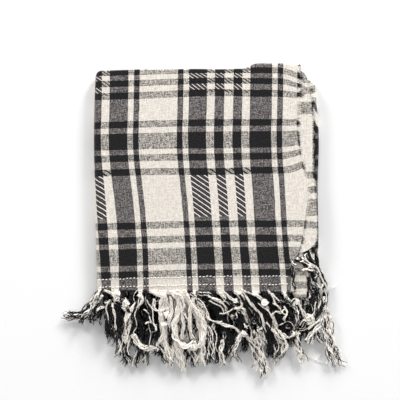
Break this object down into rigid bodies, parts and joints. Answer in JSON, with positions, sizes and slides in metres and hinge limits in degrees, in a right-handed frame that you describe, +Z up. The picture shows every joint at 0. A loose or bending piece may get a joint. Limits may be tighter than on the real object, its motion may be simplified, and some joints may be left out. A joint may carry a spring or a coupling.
{
  "type": "folded fringed shawl",
  "caption": "Square cotton plaid shawl with a knotted fringe, folded into a flat packet of stacked layers with rounded folds and frayed selvages.",
  "frame": {"origin": "on the surface that the shawl lies on, under the middle of the whole shawl with its fringe", "axes": "+Z up through the folded layers, -Y towards the hem and its fringe, +X towards the selvages, -X towards the rounded outer fold"},
  "size_m": [0.3519, 0.3854, 0.0189],
  "materials": {
    "plaid": "matt woven cotton, cream with charcoal and grey plaid stripes, slightly slubbed",
    "yarn": "matt twisted cotton yarn, black and cream"
  },
  "bodies": {
    "root": {"top_panel": "plaid", "second_leaf": "plaid", "third_leaf": "plaid", "right_fold": "plaid", "folded_layers": "plaid", "fringe_top": "yarn", "fringe_middle": "yarn", "fringe_low": "yarn", "fringe_left": "yarn", "fringe_second": "yarn", "fringe_corner": "yarn"}
  },
  "joints": []
}
